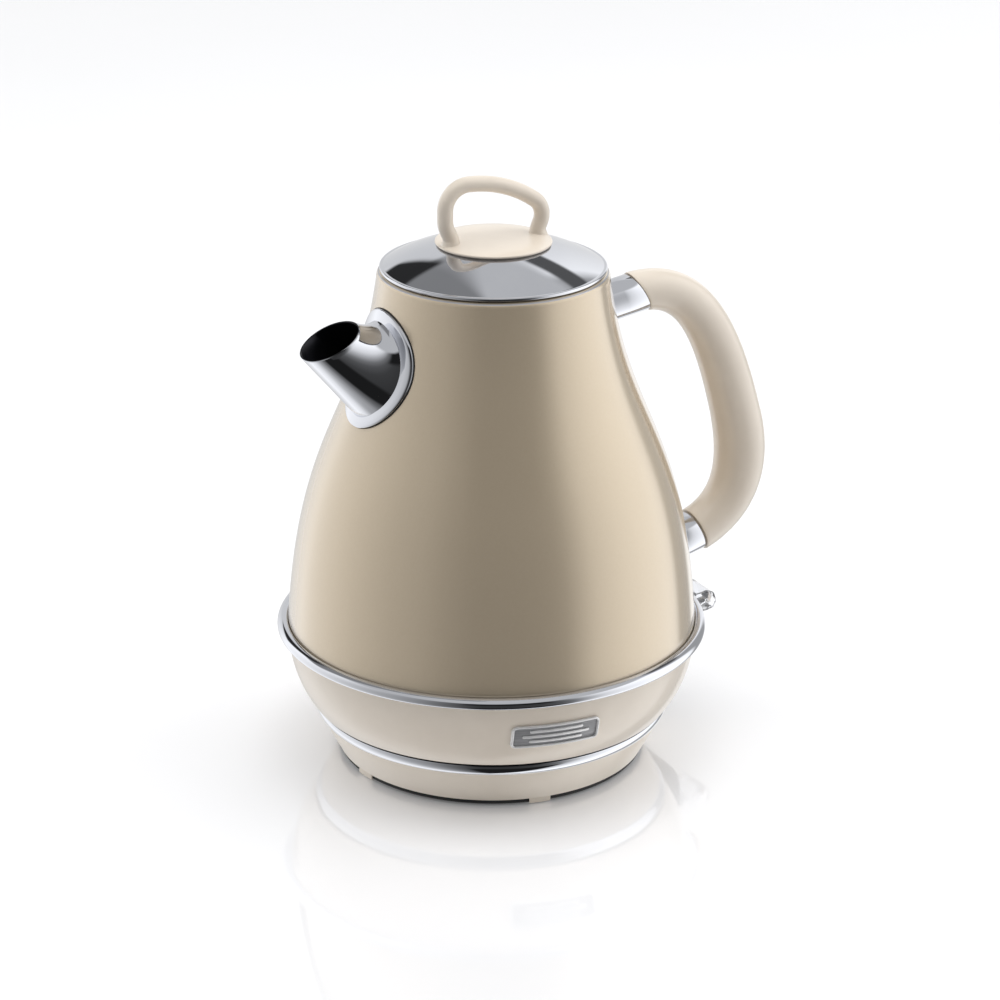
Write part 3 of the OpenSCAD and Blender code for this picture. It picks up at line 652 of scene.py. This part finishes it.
turn = Matrix.Rotation(math.radians(LID_TURN), 3, "Z")
rings = []
for point, angle in path:
    g = math.radians(angle)
    r = LOOP_R + (flare(point.y) if point.y < 240 else 0)
    rings.append([turn @ Vector((point.x - math.sin(g) * r * math.cos(b), r * math.sin(b),
                                 point.y + math.cos(g) * r * math.cos(b)))
                  for b in [2 * math.pi * k / 48 for k in range(48)]])
apply_boolean(knob, tool(*loft(rings)), "UNION", 60)
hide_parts("lid_cap", "lid_loop")

# ---------------------------------------------------------------- switch lever

lever_side = [(80.4, 43.4, 0.6), (93, 43.6), (104, 43.6, 2), (107.6, 44.6, 1.5), (108.8, 47.6, 1.5),
              (107.6, 51.6, 2), (103.6, 53.4, 2.5), (97.6, 52.2, 3), (92, 49.6, 2), (80.4, 48.6, 0.6)]
outline = rounded(lever_side, 3)
rings = []
for y, inset in ((-9, 0.8), (-8.75, 0.25), (-8.2, 0), (8.2, 0), (8.75, 0.25), (9, 0.8)):
    middle = Vector((94.6, 47.0))
    ring = []
    for x, z in outline:
        q = Vector((x, z)) - middle
        f = Vector((1 - inset / 14.2, 1 - inset / 4.1))
        ring.append((middle.x + q.x * f.x, y, middle.y + q.y * f.y))
    rings.append(ring)
lever = new_piece("lever", *loft(rings), CLEAR, "clear_plastic", "switch", 30)
apply_boolean(lever, tool(*rod((83.5, -20, 46), (83.5, 20, 46), 1.55)), "DIFFERENCE", 30)
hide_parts("switch_lever")

# ---------------------------------------------------------------- floor, light and camera

FLOOR = surface("floor", (0.90, 0.905, 0.925), (0.92, 0.925, 0.945), 0.05, scale=3, spread=0.02,
                Specular_IOR_Level=0.5, IOR=2.2, Emission_Color=(1, 1, 1, 1), Emission_Strength=0.09)
n = 24
half = 3.0
verts = [(-half + 2 * half * i / n, -half + 2 * half * j / n, 0) for j in range(n + 1) for i in range(n + 1)]
faces = [(j * (n + 1) + i, j * (n + 1) + i + 1, (j + 1) * (n + 1) + i + 1, (j + 1) * (n + 1) + i)
         for j in range(n) for i in range(n)]
floor = new_piece("floor", [(x / MM, y / MM, z) for x, y, z in verts], faces, FLOOR)
floor.location.z = -0.0001
floor.visible_glossy = False   # the chrome mirrors the studio, not the white floor

RIGHT = Vector((0.8796, -0.4756, 0))
FORWARD = Vector((0.4431, 0.8195, -0.3633)).normalized()
TOWARDS = Vector((-0.4756, -0.8796, 0))  # level, from the kettle to the camera

world = bpy.data.worlds.new("studio")
bpy.context.scene.world = world
world.use_nodes = True
tree = world.node_tree
tree.nodes.clear()
links = tree.links


def math_node(operation, a, b=None, c=None):
    node = tree.nodes.new("ShaderNodeMath")
    node.operation = operation
    for i, value in enumerate((a, b, c)):
        if value is None:
            continue
        if isinstance(value, (int, float)):
            node.inputs[i].default_value = value
        else:
            links.new(value, node.inputs[i])
    return node.outputs[0]


def dot(direction, vector):
    node = tree.nodes.new("ShaderNodeVectorMath")
    node.operation = "DOT_PRODUCT"
    links.new(direction, node.inputs[0])
    node.inputs[1].default_value = vector
    return node.outputs["Value"]


def step(value, a, b):
    """0 below a, 1 above b, smooth between."""
    node = tree.nodes.new("ShaderNodeMapRange")
    node.interpolation_type = "SMOOTHSTEP"
    links.new(value, node.inputs["Value"])
    node.inputs["From Min"].default_value = a
    node.inputs["From Max"].default_value = b
    return node.outputs["Result"]


direction = tree.nodes.new("ShaderNodeTexCoord").outputs["Generated"]
bearing = math_node("ARCTAN2", dot(direction, RIGHT), dot(direction, TOWARDS))
bearing = math_node("MULTIPLY", bearing, 180 / math.pi)   # degrees, 0 at the camera, 90 to its right
split = tree.nodes.new("ShaderNodeSeparateXYZ")
links.new(direction, split.inputs[0])
height = math_node("MULTIPLY", math_node("ARCSINE", split.outputs["Z"]), 180 / math.pi)

# Brightness round the studio, by bearing: dark in front, bright at both sides
AROUND = [(-180, 0.62), (-163, 0.58), (-150, 0.78), (-133, 1.06), (-102, 0.84), (-78, 0.58), (-59, 0.40),
          (-41, 0.29), (-27, 0.16), (-14, 0.07), (-5, 0.04), (9, 0.035), (26, 0.05), (36, 0.09), (43, 0.18),
          (52, 0.46), (61, 0.76), (72, 0.94), (84, 1.1), (100, 1.22), (118, 1.22), (126, 1.05),
          (132, 0.34), (150, 0.34), (156, 0.95), (170, 0.7), (180, 0.62)]
ramp = tree.nodes.new("ShaderNodeValToRGB")
stops = ramp.color_ramp.elements
for i, (angle, value) in enumerate(AROUND):
    place = angle / 360 + 0.5
    if i == 0:
        stop = stops[0]
        stop.position = place
    elif i == 1:
        stop = stops[1]
        stop.position = place
    else:
        stop = stops.new(place)
    stop.color = (value, value, value, 1)
links.new(math_node("ADD", math_node("DIVIDE", bearing, 360), 0.5), ramp.inputs["Fac"])
value = ramp.outputs["Color"]


def patch(value, level, b0, b1, soft_b, h0, h1, soft_h):
    """Sets the studio's brightness to level inside a box of bearing and height."""
    mask = step(bearing, b0 - soft_b, b0 + soft_b)
    mask = math_node("MULTIPLY", mask, math_node("SUBTRACT", 1, step(bearing, b1 - soft_b, b1 + soft_b)))
    mask = math_node("MULTIPLY", mask, step(height, h0 - soft_h, h0 + soft_h))
    mask = math_node("MULTIPLY", mask, math_node("SUBTRACT", 1, step(height, h1 - soft_h, h1 + soft_h)))
    mix = tree.nodes.new("ShaderNodeMix")
    mix.data_type = "RGBA"
    links.new(mask, mix.inputs["Factor"])
    links.new(value, mix.inputs["A"])
    mix.inputs["B"].default_value = (level, level, level, 1)
    return mix.outputs["Result"]


value = patch(value, 0.012, -14, 50, 4, -95, -33, 4)      # dark card, low in front
value = patch(value, 0.012, -14, 34, 4, 22, 70, 5)        # dark card above the camera
value = patch(value, 0.50, -185, 185, 1, 48, 95, 4)       # ceiling
value = patch(value, 0.22, -165, -118, 9, 35, 95, 2)      # its darker left end
value = patch(value, 0.025, -161, -141, 2, 20, 41, 2)     # dark cards behind, for the lid
value = patch(value, 0.09, 140, 167, 2, 35.5, 46, 1.5)
value = patch(value, 0.62, -185, -161, 2, -10, 35, 3)

background = tree.nodes.new("ShaderNodeBackground")
links.new(value, background.inputs["Color"])
background.inputs["Strength"].default_value = 1.3
white = tree.nodes.new("ShaderNodeBackground")
white.inputs["Color"].default_value = (1, 1, 1, 1)
white.inputs["Strength"].default_value = 1.0
path_node = tree.nodes.new("ShaderNodeLightPath")
pick = tree.nodes.new("ShaderNodeMixShader")
links.new(path_node.outputs["Is Camera Ray"], pick.inputs[0])
links.new(background.outputs[0], pick.inputs[1])
links.new(white.outputs[0], pick.inputs[2])
output = tree.nodes.new("ShaderNodeOutputWorld")
links.new(pick.outputs[0], output.inputs["Surface"])

lamp_data = bpy.data.lights.new("top_softbox", "AREA")
lamp_data.shape = "RECTANGLE"
lamp_data.size = 2.6
lamp_data.size_y = 2.0
lamp_data.energy = 30
lamp = bpy.data.objects.new("top_softbox", lamp_data)
lamp.location = (0.1, 0.1, 2.0)
lamp.visible_glossy = False
bpy.context.scene.collection.objects.link(lamp)

camera_data = bpy.data.cameras.new("camera")
camera_data.sensor_width = 36
camera_data.lens = 117.13
camera_data.clip_end = 50
camera = bpy.data.objects.new("camera", camera_data)
roll = math.radians(0.363)
lift = RIGHT.cross(FORWARD).normalized()
right = RIGHT * math.cos(roll) + lift * math.sin(roll)
lift = lift * math.cos(roll) - RIGHT * math.sin(roll)
camera.matrix_world = Matrix((
    (right.x, lift.x, -FORWARD.x, -0.6091),
    (right.y, lift.y, -FORWARD.y, -1.1335),
    (right.z, lift.z, -FORWARD.z, 0.6137),
    (0, 0, 0, 1)))
bpy.context.scene.collection.objects.link(camera)
bpy.context.scene.camera = camera

view = bpy.context.scene.view_settings
view.view_transform = "Standard"
view.look = "None"
